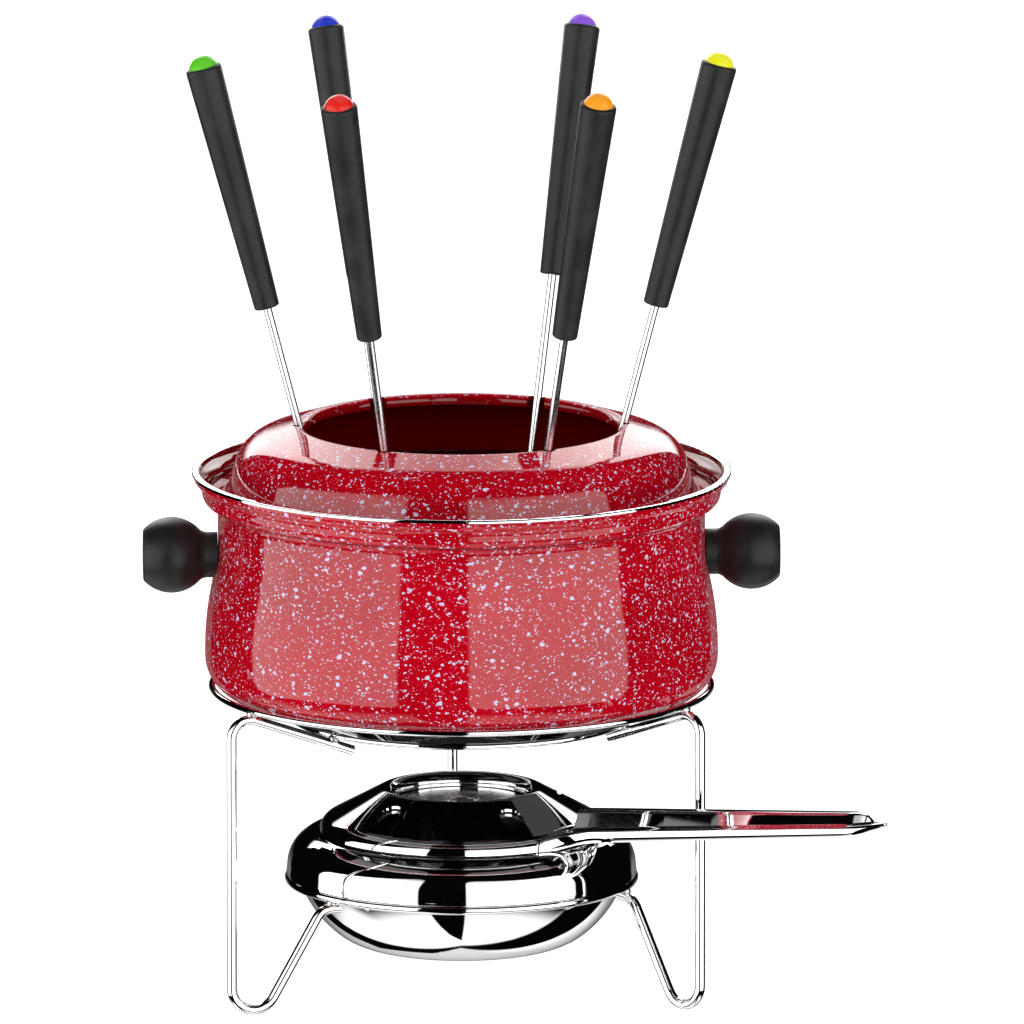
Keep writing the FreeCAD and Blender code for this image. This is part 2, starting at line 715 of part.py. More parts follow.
for number in range(1, FORK_COUNT + 1):
    spot = fork_placement((number - 1) * 360.0 / FORK_COUNT)
    for piece, maker in (("shank", fork_shank), ("handle", fork_handle), ("cap", fork_cap)):
        item = keep(maker(), f"fork_{piece}_{number}")
        item.Placement = spot
doc.recompute()

# ---------------------------------------------------------------- burner

VENT_COUNT = 5
VENT_START = -135.4
sheet_t = D["burner_wall"]

bowl = Track(0, D["bowl_base_z"]).line(D["bowl_flat_r"])
bowl.arc(D["bowl_corner_r"], D["bowl_corner_turn"]).arc(D["bowl_side_r"], D["bowl_side_turn"])
bowl.arc(D["bowl_flange_blend"], -(D["bowl_corner_turn"] + D["bowl_side_turn"]))
bowl.line(D["bowl_flange"])
keep(turned_body("burner_bowl", sheet_profile(bowl, sheet_t)), "burner_bowl")

upper = Track(D["upper_edge_r"], D["upper_edge_z"], 95).line(D["upper_rise"])
upper.arc(D["upper_shoulder_r"], D["upper_shoulder_turn"]).line(D["upper_slope_run"])
upper.arc(D["upper_crest_r"], 85 - D["upper_shoulder_turn"]).line(D["upper_seat"])
upper.arc(D["mouth_lip_r"], 90).line(D["mouth_lip_drop"])
keep(turned_body("burner_upper_shell", sheet_profile(upper, sheet_t)), "burner_upper_shell")

slope_turn = 90 - D["cover_slope"]
damper = Track(D["damper_r"], D["damper_low_z"], 90).line(D["damper_bend_z"] - D["damper_low_z"])
damper.arc(D["damper_shoulder_r"], slope_turn).line(D["damper_run"])
damper_section = sheet_profile(damper, sheet_t)
damper_body = keep(turned_body("burner_damper_ring", damper_section), "burner_damper_ring")



def cover_outside():
    """The cover's outer face, from its edge up the slope."""
    track = Track(D["cover_edge_r"], D["cover_edge_z"], 90 + D["cover_lean"]).line(D["cover_rise"])
    return track.arc(D["cover_shoulder_r"], slope_turn - D["cover_lean"]).line(D["cover_run"])


cover = cover_outside().arc(D["cover_lip_r"], 90 + D["cover_slope"]).line(D["cover_lip_drop"])
cover_body = keep(turned_body("burner_cover", sheet_profile(cover, sheet_t)), "burner_cover")
cover_filled = cover_outside()
cover_filled.to(0, cover_filled.point[1]).to(0, D["cover_edge_z"])

for vented in (damper_body, cover_body):
    outline = circle_sketch(vented, "Vent", "XY_Plane", D["vent_from_axis"], D["vent_r"])
    cut_round(vented, outline, VENT_COUNT, "VentCut")
    vented.Placement.Rotation = Rotation(Vector(0, 0, 1), VENT_START)

cup_low, cup_top = D["cup_low_z"], D["cup_top_z"]
cup = Track(0, cup_low).to(D["cup_r"], cup_low).to(D["cup_r"], cup_top)
cup_inside, cup_floor = D["cup_r"] - sheet_t, cup_low + sheet_t
cup.to(cup_inside, cup_top).to(cup_inside, cup_floor).to(0, cup_floor)
keep(turned_body("burner_fuel_cup", cup), "burner_fuel_cup")

pad_r, pad_low = cup_inside - gap * 4, cup_floor + gap
pad = Track(0, pad_low).to(pad_r, pad_low).to(pad_r, D["pad_top_z"]).to(0, D["pad_top_z"])
keep(turned_body("burner_fuel_pad", pad), "burner_fuel_pad")

lid_low = cup_top + gap
lid = Track(D["cup_r"], lid_low).to(D["cup_r"], lid_low + sheet_t)
lid.to(D["wick_r"], lid_low + sheet_t).to(D["wick_r"], lid_low)
keep(turned_body("burner_cup_lid", lid), "burner_cup_lid")

gauze_r = D["wick_r"] - gap
dome = (gauze_r * gauze_r + D["gauze_rise"] * D["gauze_rise"]) / (D["gauze_rise"] * 2)
dome_angle = arcsine(gauze_r, dome)
gauze = Track(gauze_r, lid_low, 180 - dome_angle).arc(dome, dome_angle)
gauze_body = keep(turned_body("burner_gauze", sheet_profile(gauze, D["gauze_wall"])), "burner_gauze")
for ring_number in (1, 2):
    hole_count = 6 * ring_number
    ring_at = D["gauze_hole_step"] * ring_number
    outline = circle_sketch(gauze_body, f"Mesh{ring_number}", "XY_Plane", ring_at, D["gauze_hole_r"])
    cut_round(gauze_body, outline, hole_count, f"MeshCut{ring_number}")

# ---------------------------------------------------------------- regulator handle


def handle_outline(inset, start):
    """Half the plan is a flared root, a long taper and a pointed tip; the other half mirrors it."""
    wide, waist, slim = D["root_half"] - inset, D["waist_half"] - inset, D["tip_half"] - inset
    flare, flare_wide = D["waist_x"] - D["flare_length"], waist + D["flare_half"]
    tip_start = D["handle_end"] - D["tip_length"]
    end = D["handle_end"] - inset * 2
    nose = end - D["nose_length"]
    track = Track(start, -wide).to(flare, -flare_wide).to(D["waist_x"], -waist).to(tip_start, -slim)
    track.to(nose, -slim / 3).to(end, 0).to(nose, slim / 3)
    return track.to(tip_start, slim).to(D["waist_x"], waist).to(flare, flare_wide).to(start, wide)


handle = new_body("HandleStamping")
start = D["handle_start"]
plate = handle.newObject("PartDesign::Pad", "Plate")
plate.Profile = draw(handle, "PlatePlan", "XY_Plane", handle_outline(as_size(0), start))
bind(plate, "Length", D["handle_sheet"])
spine = handle.newObject("PartDesign::Pad", "Spine")
spine.Profile = draw(handle, "SpinePlan", "XY_Plane", handle_outline(D["brim"], start))
bind(spine, "Length", D["spine_height"])
doc.recompute()
top_z = D["spine_height"].value
top_face = next(
    n for n, face in enumerate(spine.Shape.Faces, start=1) if abs(face.CenterOfMass.z - top_z) < 1e-6
)
rounding = handle.newObject("PartDesign::Fillet", "SpineRounding")
rounding.Base = (spine, [f"Face{top_face}"])
bind(rounding, "Radius", D["spine_edge_r"])
doc.recompute()
hollow = handle.newObject("PartDesign::Pocket", "Hollow")
hollow_plan = handle_outline(D["brim"] + D["handle_sheet"], start)
hollow.Profile = draw(handle, "HollowPlan", "XY_Plane", hollow_plan)
hollow.Reversed = True
bind(hollow, "Length", D["spine_height"] - D["handle_sheet"])
pitch = Rotation(Vector(0, 1, 0), -D["handle_pitch"].value)
handle_turn = Rotation(Vector(0, 0, 1), D["handle_angle"].value).multiply(pitch)
handle.Placement = Placement(Vector(0, 0, D["handle_root_z"].value), handle_turn)
without(handle, turned_body("CoverFilled", cover_filled), "burner_handle")

# ---------------------------------------------------------------- check and write

doc.recompute()
failed = [item.Name for item in doc.Objects if {"Invalid", "Error"} & set(item.State)]
if failed:
    raise RuntimeError(f"objects that failed: {failed}")
os.makedirs("parts", exist_ok=True)
for item in PARTS:
    shape = item.Shape
    if shape.isNull() or not shape.isValid() or not shape.Solids:
        raise RuntimeError(f"{item.Label} has no valid solid")
    box = shape.BoundBox
    print(
        f"{item.Label}: {len(shape.Solids)} solid, {shape.Volume:.1f} mm3, "
        f"z {box.ZMin:.2f} to {box.ZMax:.2f}, x {box.XMin:.2f} to {box.XMax:.2f}"
    )
    shape.exportStep(f"parts/{item.Label}.step")
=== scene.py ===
import json
import math

import bmesh
import bpy
from mathutils import Matrix, Vector


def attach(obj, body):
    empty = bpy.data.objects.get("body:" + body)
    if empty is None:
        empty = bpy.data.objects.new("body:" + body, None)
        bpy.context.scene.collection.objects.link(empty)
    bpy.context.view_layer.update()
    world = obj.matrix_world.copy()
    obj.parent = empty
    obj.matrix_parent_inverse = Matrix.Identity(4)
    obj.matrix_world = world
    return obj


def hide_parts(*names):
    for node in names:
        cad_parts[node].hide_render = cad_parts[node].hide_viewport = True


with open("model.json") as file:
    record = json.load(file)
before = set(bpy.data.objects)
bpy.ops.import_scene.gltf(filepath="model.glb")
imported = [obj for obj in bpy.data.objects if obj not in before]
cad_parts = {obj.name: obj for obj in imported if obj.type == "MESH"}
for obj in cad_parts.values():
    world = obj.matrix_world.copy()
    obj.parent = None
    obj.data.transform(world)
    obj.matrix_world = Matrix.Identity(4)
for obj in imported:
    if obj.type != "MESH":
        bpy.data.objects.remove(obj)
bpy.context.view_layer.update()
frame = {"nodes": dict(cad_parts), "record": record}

MM = 0.001
scene = bpy.context.scene


# ---------------------------------------------------------------- camera

CAMERA_AZIMUTH = math.radians(-2.0)
CAMERA_ELEVATION = math.radians(11.0)
CAMERA_DISTANCE = 12.8
CAMERA_LENS = 1200.0
CAMERA_FAR = 60.0
AIM_RIGHT = 18.9 * MM
AIM_UP = 177.75 * MM


def bearing(azimuth, elevation):
    """Unit vector toward a direction: azimuth 0 is in front of the set and grows to the right."""
    return Vector((
        math.sin(azimuth) * math.cos(elevation),
        -math.cos(azimuth) * math.cos(elevation),
        math.sin(elevation),
    ))


def make_camera():
    """A long lens, aimed a little right of the set's axis at half its height."""
    data = bpy.data.cameras.new("camera")
    data.lens = CAMERA_LENS
    data.clip_end = CAMERA_FAR
    camera = bpy.data.objects.new("camera", data)
    scene.collection.objects.link(camera)
    back = bearing(CAMERA_AZIMUTH, CAMERA_ELEVATION)
    right = Vector((math.cos(CAMERA_AZIMUTH), math.sin(CAMERA_AZIMUTH), 0))
    up = back.cross(right)
    camera.location = right * AIM_RIGHT + up * AIM_UP + back * CAMERA_DISTANCE
    camera.rotation_mode = "QUATERNION"
    camera.rotation_quaternion = (-back).to_track_quat("-Z", "Y")
    scene.camera = camera


# ---------------------------------------------------------------- node helper

# The colour sockets of the Mix node, which shares its names between data types.
MIX_FACTOR, MIX_FIRST, MIX_SECOND, MIX_RESULT = 0, 6, 7, 2


class Graph:
    """Short calls for building a node tree."""

    def __init__(self, tree):
        self.tree = tree

    def node(self, kind, inputs=None, **settings):
        made = self.tree.nodes.new("ShaderNode" + kind)
        for name, value in settings.items():
            setattr(made, name, value)
        for name, value in (inputs or {}).items():
            self.put(made.inputs[name], value)
        return made

    def put(self, socket, value):
        if isinstance(value, bpy.types.NodeSocket):
            self.tree.links.new(value, socket)
        else:
            socket.default_value = value

    def math(self, operation, *values):
        made = self.node("Math", operation=operation)
        for socket, value in zip(made.inputs, values):
            self.put(socket, value)
        return made.outputs[0]

    def vector(self, operation, *values):
        made = self.node("VectorMath", operation=operation)
        for socket, value in zip(made.inputs, values):
            self.put(socket, value)
        return made.outputs["Value" if operation == "DOT_PRODUCT" else "Vector"]

    def ramp(self, value, low, high, start=0.0, end=1.0):
        """Smooth step: start below low, end above high."""
        made = self.node("MapRange", interpolation_type="SMOOTHSTEP")
        for name, number in zip(("Value", "From Min", "From Max", "To Min", "To Max"),
                                (value, low, high, start, end)):
            self.put(made.inputs[name], number)
        return made.outputs["Result"]

    def noise(self, vector, scale=1.0, detail=3.0, roughness=0.55):
        """Smooth noise; its scale is in waves per metre, or 1 where the place is stretched."""
        inputs = {"Vector": vector, "Scale": scale, "Detail": detail, "Roughness": roughness}
        return self.node("TexNoise", inputs).outputs["Fac"]

    def stretch(self, vector, scale):
        """Scales a place by a different factor on each axis."""
        return self.vector("MULTIPLY", vector, scale)

    def mix(self, factor, first, second):
        made = self.node("Mix", data_type="RGBA")
        self.put(made.inputs[MIX_FACTOR], factor)
        self.put(made.inputs[MIX_FIRST], first)
        self.put(made.inputs[MIX_SECOND], second)
        return made.outputs[MIX_RESULT]


class Finish(Graph):
    """A material with one Principled shader."""

    def __init__(self, name, **constants):
        self.material = bpy.data.materials.new(name)
        self.material.use_nodes = True
        super().__init__(self.material.node_tree)
        self.shader = self.tree.nodes["Principled BSDF"]
        for socket, value in constants.items():
            self.shader.inputs[socket.replace("_", " ")].default_value = value
        self.place = self.node("TexCoord").outputs["Object"]

    def set(self, socket, value):
        self.put(self.shader.inputs[socket], value)

    def bump(self, height, strength, distance, name="Normal"):
        inputs = {"Height": height, "Strength": strength, "Distance": distance}
        self.set(name, self.node("Bump", inputs).outputs["Normal"])


def colour(red, green, blue):
    """Linear colour of a display (sRGB) colour, 0 to 255."""
    def linear(level):
        level /= 255
        return level / 12.92 if level <= 0.04045 else ((level + 0.055) / 1.055) ** 2.4
    return (linear(red), linear(green), linear(blue), 1.0)


def scaled(tint, factor, lift=0.0):
    """A colour times a factor, plus a lift."""
    return tuple(min(1.0, channel * factor + lift) for channel in tint[:3]) + (1.0,)


# ---------------------------------------------------------------- materials

SPREAD = (0.3, 0.7)  # most values of a noise lie between these

# Heights of the relief that bump stands for.
FINE_RELIEF = 0.05 * MM
SOFT_RELIEF = 0.1 * MM
WELD_RELIEF = 0.3 * MM
FIBRE_RELIEF = 0.6 * MM

POT_HEART = (0, 0, 150 * MM)
ENAMEL_RED = colour(176, 0, 22)
ENAMEL_SHADE = colour(160, 0, 17)
ENAMEL_BASE = colour(5, 3, 3)
ENAMEL_INSIDE = colour(138, 4, 9)
SPECK_WHITE = colour(196, 199, 230)
SPECK_PINK = colour(232, 120, 150)

# Layers of flecks: cell size, share of the cells with a fleck, then its largest reach and its
# soft edge, both as parts of a cell.
FLECKS_LARGE = (4.1 * MM, 0.6, 0.3, 0.05)
FLECKS_MEDIUM = (2.2 * MM, 0.72, 0.34, 0.07)
FLECKS_SMALL = (1.3 * MM, 0.7, 0.38, 0.1)
FLECKS_DUST = (0.75 * MM, 0.5, 0.42, 0.16)
FLECK_WANDER = 2.2 * MM
FLECK_WANDER_WAVES = 700.0
FLECK_FLATTEN = (1.0, 1.0, 1.45)
LEAST_FLECK = 0.25
FLECK_COVER = 0.95
DUST_COVER = 0.5
DUST_CROWDS = (0.3, 0.55)

CROWD_WAVES = 60.0
CLOUD_WAVES = 26.0
PEEL_WAVES = 170.0
UNDERSIDE_SLOPE = (-0.87, -0.82)
OUTSIDE_REACH = 2 * MM
ENAMEL_ROUGH = (0.28, 0.36)
COAT_ROUGH = (0.02, 0.045)
COAT_FADE = (0.84, 0.97, 1.0, 0.08)
COAT_BUMP = 0.07
FLECK_BUMP = 0.08
FLECK_RISE = 0.5


def flecks(g, place, cell, share, size, blur):
    """Irregular flecks: one per Voronoi cell in a share of the cells, of random size."""
    cells = g.node("TexVoronoi", {"Vector": place, "Scale": 1 / cell, "Randomness": 1.0})
    random = g.node("SeparateXYZ", {"Vector": cells.outputs["Color"]})
    chosen = g.math("LESS_THAN", random.outputs["X"], share)
    reach = g.math("MULTIPLY_ADD", random.outputs["Y"], size * (1 - LEAST_FLECK), size * LEAST_FLECK)
    gap = g.math("SUBTRACT", reach, cells.outputs["Distance"])
    return g.math("MULTIPLY", g.ramp(gap, 0.0, blur), chosen)


def enamel():
    """Red vitreous enamel with pale flecks, plain and darker inside, nearly black underneath."""
    g = Finish("enamel_red", Coat_IOR=1.5, Specular_IOR_Level=0.0)
    inputs = {"Vector": g.place, "Scale": FLECK_WANDER_WAVES, "Detail": 3.0}
    wobble = g.vector("SUBTRACT", g.node("TexNoise", inputs).outputs["Color"], (0.5, 0.5, 0.5))
    offset = g.stretch(wobble, (FLECK_WANDER,) * 3)
    place = g.stretch(g.vector("ADD", g.place, offset), FLECK_FLATTEN)
    large = flecks(g, place, *FLECKS_LARGE)
    medium = flecks(g, place, *FLECKS_MEDIUM)
    small = flecks(g, place, *FLECKS_SMALL)
    dust = flecks(g, place, *FLECKS_DUST)
    pale = g.math("MAXIMUM", g.math("MAXIMUM", large, medium), small)
    crowd = g.noise(g.place, CROWD_WAVES, detail=2.0)
    fine = g.math("MULTIPLY", dust, g.ramp(crowd, *DUST_CROWDS))

    normal = g.node("NewGeometry").outputs["Normal"]
    heart = g.vector("SUBTRACT", g.place, POT_HEART)
    outside = g.ramp(g.vector("DOT_PRODUCT", heart, normal), -OUTSIDE_REACH, OUTSIDE_REACH)
    up = g.node("SeparateXYZ", {"Vector": normal}).outputs["Z"]
    under = g.ramp(up, *UNDERSIDE_SLOPE, 1.0, 0.0)

    cloud = g.ramp(g.noise(g.place, CLOUD_WAVES, detail=4.0), *SPREAD)
    base = g.mix(cloud, ENAMEL_SHADE, ENAMEL_RED)
    base = g.mix(g.math("MULTIPLY", fine, DUST_COVER), base, SPECK_PINK)
    base = g.mix(g.math("MULTIPLY", pale, FLECK_COVER), base, SPECK_WHITE)
    base = g.mix(under, base, ENAMEL_BASE)
    g.set("Base Color", g.mix(outside, ENAMEL_INSIDE, base))

    peel = g.noise(g.place, PEEL_WAVES, detail=2.0)
    facing = g.node("LayerWeight", {"Blend": 0.5}).outputs["Facing"]
    g.set("Coat Weight", g.ramp(facing, *COAT_FADE))
    g.set("Coat Roughness", g.ramp(peel, *SPREAD, *COAT_ROUGH))
    g.set("Roughness", g.ramp(crowd, *SPREAD, *ENAMEL_ROUGH))
    skin = g.math("ADD", g.math("MULTIPLY", large, FLECK_RISE), peel)
    g.bump(skin, COAT_BUMP, SOFT_RELIEF, "Coat Normal")
    g.bump(large, FLECK_BUMP, SOFT_RELIEF)
    return g.material


# Metals. Lines are stretches of the place along each axis: a small one draws noise out into a line.
BRIGHT = (0.94, 0.94, 0.945, 1.0)
GAUZE_GREY = colour(226, 222, 214)
STEEL_PALE = colour(236, 236, 238)
STEEL_GREY = colour(214, 215, 219)
BRASS_CLEAN = colour(214, 176, 96)
BRASS_BROWN = colour(150, 112, 52)
WELD_CLEAN = colour(222, 220, 216)
WELD_TINT = colour(168, 160, 150)
WIRE_ROUGH = (0.015, 0.06)
TRIM_ROUGH = (0.015, 0.05)
BURNER_ROUGH = (0.012, 0.045)
GAUZE_ROUGH = (0.18, 0.35)
STEEL_ROUGH = (0.14, 0.3)
BRASS_ROUGH = (0.18, 0.4)
WELD_ROUGH = (0.15, 0.38)
SMEAR_WAVES = 45.0
SMEAR_SHADE = 0.93
SMEAR_SHARE = 0.7
BENT_WAVES = 70.0
HAIR_SHARE = 0.02
METAL_WEAR = (0.3, 0.75)
METAL_BUMP = 0.05
STEEL_WEAR = (0.6, 1.4)
STEEL_BUMP = 0.12
BRASS_BUMP = 0.2
WELD_BUMP = 0.5
HAIRLINES = (900.0, 900.0, 6000.0)
SPUN_LINES = (300.0, 300.0, 5000.0)
GAUZE_GRAIN = (4000.0, 4000.0, 4000.0)
DRAWN_LINES = (5200.0, 5200.0, 160.0)
DRAWN_PATCHES = 60.0
BRASS_STAIN = 400.0
WELD_RIPPLE = 1500.0


def chrome(name, tint, rough, lines=HAIRLINES):
    """Bright plated metal: smears and hairlines vary its roughness, a long wave bends reflections."""
    g = Finish(name, Metallic=1.0)
    smear = g.noise(g.place, SMEAR_WAVES, detail=5.0)
    hair = g.noise(g.stretch(g.place, lines), detail=2.0)
    g.set("Base Color", g.mix(smear, tint, scaled(tint, SMEAR_SHADE)))
    worn = g.math("MULTIPLY_ADD", smear, SMEAR_SHARE, g.math("MULTIPLY", hair, 1 - SMEAR_SHARE))
    g.set("Roughness", g.ramp(worn, *METAL_WEAR, *rough))
    wave = g.math("MULTIPLY_ADD", hair, HAIR_SHARE, g.noise(g.place, BENT_WAVES, detail=1.0))
    g.bump(wave, METAL_BUMP, SOFT_RELIEF)
    return g.material


def steel():
    """Drawn stainless rod: fine lines along its length."""
    g = Finish("stainless", Metallic=1.0)
    drawn = g.noise(g.stretch(g.place, DRAWN_LINES))
    patch = g.noise(g.place, DRAWN_PATCHES)
    g.set("Base Color", g.mix(patch, STEEL_PALE, STEEL_GREY))
    g.set("Roughness", g.ramp(g.math("ADD", drawn, patch), *STEEL_WEAR, *STEEL_ROUGH))
    g.bump(drawn, STEEL_BUMP, FINE_RELIEF)
    return g.material


def brass():
    """Machined brass with a brown stain."""
    g = Finish("brass", Metallic=1.0)
    stain = g.noise(g.place, BRASS_STAIN, detail=4.0)
    g.set("Base Color", g.mix(stain, BRASS_CLEAN, BRASS_BROWN))
    g.set("Roughness", g.ramp(stain, *SPREAD, *BRASS_ROUGH))
    g.bump(stain, BRASS_BUMP, FINE_RELIEF)
    return g.material


def weld():
    """Plated weld bead: ripples and a little heat tint."""
    g = Finish("weld", Metallic=1.0)
    ripple = g.noise(g.place, WELD_RIPPLE)
    g.set("Base Color", g.mix(ripple, WELD_CLEAN, WELD_TINT))
    g.set("Roughness", g.ramp(ripple, *SPREAD, *WELD_ROUGH))
    g.bump(ripple, WELD_BUMP, WELD_RELIEF)
    return g.material


# Mouldings and wadding.
MOULDING_BLACK = colour(24, 24, 24)
MOULDING_ROUGH = 0.34
MOULDING_GRAIN = 2600.0
HANDLE_BLACK = colour(30, 30, 30)
HANDLE_ROUGH = 0.36
HANDLE_GRAIN = 3200.0
GRAIN_SHARE = 0.4
DULL_PATCHES = 90.0
DULL_SPREAD = (0.35, 0.75)
DULL_TINT = (1.5, 0.004)
DULL_RISE = 0.1
MOULDING_WEAR = (0.45, 0.95)
GRAIN_BUMP = 0.25
CAP_CLOUDS = 240.0
CAP_COAT_ROUGH = (0.03, 0.08)
CAP_CLOUD_TINT = (0.96, 0.04)
CAP_DIMPLES = 500.0
CAP_BUMP = 0.02
FIBRES = (2600.0, 900.0, 1400.0)
FIBRE_DARK = colour(205, 196, 178)
FIBRE_PALE = colour(242, 238, 228)
FIBRE_BUMP = 0.8


def plastic(name, tint, rough, grain):
    """Moulded black phenolic: a fine grain and a few dull patches."""
    g = Finish(name, Specular_IOR_Level=0.26)
    fine = g.noise(g.place, grain, detail=2.0)
    patch = g.noise(g.place, DULL_PATCHES, detail=4.0)
    g.set("Base Color", g.mix(g.ramp(patch, *DULL_SPREAD), tint, scaled(tint, *DULL_TINT)))
    worn = g.math("MULTIPLY_ADD", fine, GRAIN_SHARE, patch)
    g.set("Roughness", g.ramp(worn, *MOULDING_WEAR, rough, rough + DULL_RISE))
    g.bump(fine, GRAIN_BUMP, FINE_RELIEF)
    return g.material


def cap_plastic(name, tint):
    """A glossy coloured cap with a slightly cloudy body."""
    g = Finish(name, Roughness=0.3, Coat_Weight=0.18, Specular_IOR_Level=0.15)
    cloud = g.noise(g.place, CAP_CLOUDS)
    g.set("Base Color", g.mix(g.ramp(cloud, *SPREAD), tint, scaled(tint, *CAP_CLOUD_TINT)))
    g.set("Coat Roughness", g.ramp(cloud, *SPREAD, *CAP_COAT_ROUGH))
    g.bump(g.noise(g.place, CAP_DIMPLES, detail=1.0), CAP_BUMP, FINE_RELIEF)
    return g.material


def wadding():
    """Pressed mineral fibre."""
    g = Finish("wadding", Roughness=0.95, Specular_IOR_Level=0.1, Sheen_Weight=0.3)
    fibre = g.noise(g.stretch(g.place, FIBRES), detail=6.0, roughness=0.7)
    g.set("Base Color", g.mix(fibre, FIBRE_DARK, FIBRE_PALE))
    g.bump(fibre, FIBRE_BUMP, FIBRE_RELIEF)
    return g.material


CAP_COLOURS = {
    "yellow": colour(232, 228, 0),
    "violet": colour(132, 74, 214),
    "blue": colour(20, 44, 190),
    "green": colour(84, 190, 0),
    "red": colour(214, 16, 0),
    "amber": colour(238, 152, 0),
}


def finishes():
    """One material for each material slot of the record."""
    made = {
        "polished_wire": chrome("polished_wire", BRIGHT, WIRE_ROUGH),
        "weld": weld(),
        "enamel": enamel(),
        "rim_chrome": chrome("rim_chrome", BRIGHT, TRIM_ROUGH),
        "black_moulding": plastic("black_moulding", MOULDING_BLACK, MOULDING_ROUGH, MOULDING_GRAIN),
        "black_handle": plastic("black_handle", HANDLE_BLACK, HANDLE_ROUGH, HANDLE_GRAIN),
        "brass": brass(),
        "stainless": steel(),
        "burner_polish": chrome("burner_polish", BRIGHT, BURNER_ROUGH, SPUN_LINES),
        "wadding": wadding(),
        "gauze": chrome("gauze", GAUZE_GREY, GAUZE_ROUGH, GAUZE_GRAIN),
    }
    for name, tint in CAP_COLOURS.items():
        made[f"cap_{name}"] = cap_plastic(f"cap_{name}", tint)
    return made


def dress_nodes(made):
    """Gives each CAD node the material of its slot."""
    for entry in frame["record"]["subparts"]:
        for holder in frame["nodes"][entry["node"]].material_slots:
            holder.link = "OBJECT"
            holder.material = made[entry["material_slot"]]


# ---------------------------------------------------------------- pieces


def mesh_object(name, bm, material):
    """A smooth-shaded object made of a bmesh, which is used up."""
    bmesh.ops.recalc_face_normals(bm, faces=bm.faces)
    mesh = bpy.data.meshes.new(name)
    bm.to_mesh(mesh)
    bm.free()
    mesh.shade_smooth()
    mesh.materials.append(material)
    made = bpy.data.objects.new(name, mesh)
    scene.collection.objects.link(made)
    return made


# The regulator's handle lies along a rising line that starts on the set's axis. In millimetres:
# u is the way along that line, a level is a height over it.
HANDLE_ANGLE = math.radians(-38.0)
HANDLE_PITCH = math.radians(6.9)
HANDLE_ROOT_Z = 58.6
HANDLE_START = 46.0
HANDLE_END = 197.0
SHEET = 0.8

# Plan: an arc out of the cover's edge to the waist, a long taper, then a pointed tip.
COVER_EDGE_R = 53.8
FLARE_R = 17.0
WAIST_HALF = 9.4
TIP_HALF = 7.6
TIP_START = 181.0
POINT_HALF = 0.5
POINT_POWER = 1.7

# Section: levels of the spine's crest, the flat brim and the rolled hem, at the root and the tip.
ROOT_LEVELS = (8.9, 2.2, -2.6)
TIP_LEVELS = (7.3, 3.2, -0.2)
BRIM = 3.0
LIP = 0.9
CROWN = 0.3
FILLETS = (1.8, 1.2, 1.6)
FILLET_STEPS = 6
FILLET_SHARE = 0.49
POINT_HEM = 0.25

# The spine rises over a short face, has sloped flanks, and ends in a rounded nose. Its foot
# keeps between two shares of the half width.
SPINE_START = 56.5
SPINE_FACE = 1.4
SPINE_END = 191.0
SPINE_SLOPE = 0.45
SPINE_LEAST = 0.03
NOSE = 9.0
NOSE_POWER = 2.4
NOSE_PINCH = 0.35
FOOT_RANGE = (0.3, 0.8)
CREST_PINCH = 0.55

# Near the cover the sides droop.
DROOP = 3.0
DROOP_START = 50.0
DROOP_END = 68.0

# Cross-sections (start, spacing, number), closer together where the shape changes quickly.
STATIONS = (
    (HANDLE_START, 1.0, 10),
    (SPINE_START, 0.2, 12),
    (SPINE_START + 3, 2.0, 60),
    (HANDLE_END - 18, 0.5, 37),
)


def fillet(before, corner, after, radius):
    """Points of the arc that rounds a corner between two straight runs."""
    inward, outward = before - corner, after - corner
    room = min(inward.length, outward.length) * FILLET_SHARE
    inward.normalize()
    outward.normalize()
    half = inward.angle(outward) / 2
    reach = min(radius / math.tan(half), room)
    centre_way = reach * math.tan(half) / math.sin(half)
    centre = corner + (inward + outward).normalized() * centre_way
    first, last = corner + inward * reach - centre, corner + outward * reach - centre
    turn = first.angle_signed(last)
    return [centre + Matrix.Rotation(-turn * step / FILLET_STEPS, 2) @ first
            for step in range(FILLET_STEPS + 1)]


def unit(value):
    """A value held between 0 and 1."""
    return max(0.0, min(1.0, value))


def handle_half(u):
    """Half the plan's width: the root sweeps into the cover's edge, a long taper ends in a point."""
    sweep = math.asin((WAIST_HALF + FLARE_R) / (COVER_EDGE_R + FLARE_R))
    waist = (COVER_EDGE_R + FLARE_R) * math.cos(sweep)
    if u < waist:
        depth = min(waist - u, waist - COVER_EDGE_R * math.cos(sweep))
        return WAIST_HALF + FLARE_R - math.sqrt(FLARE_R ** 2 - depth ** 2)
    straight = WAIST_HALF + (TIP_HALF - WAIST_HALF) * (u - waist) / (TIP_START - waist)
    if u > TIP_START:
        narrowed = ((u - TIP_START) / (HANDLE_END - TIP_START)) ** POINT_POWER
        return max(POINT_HALF, straight * (1 - narrowed))
    return straight


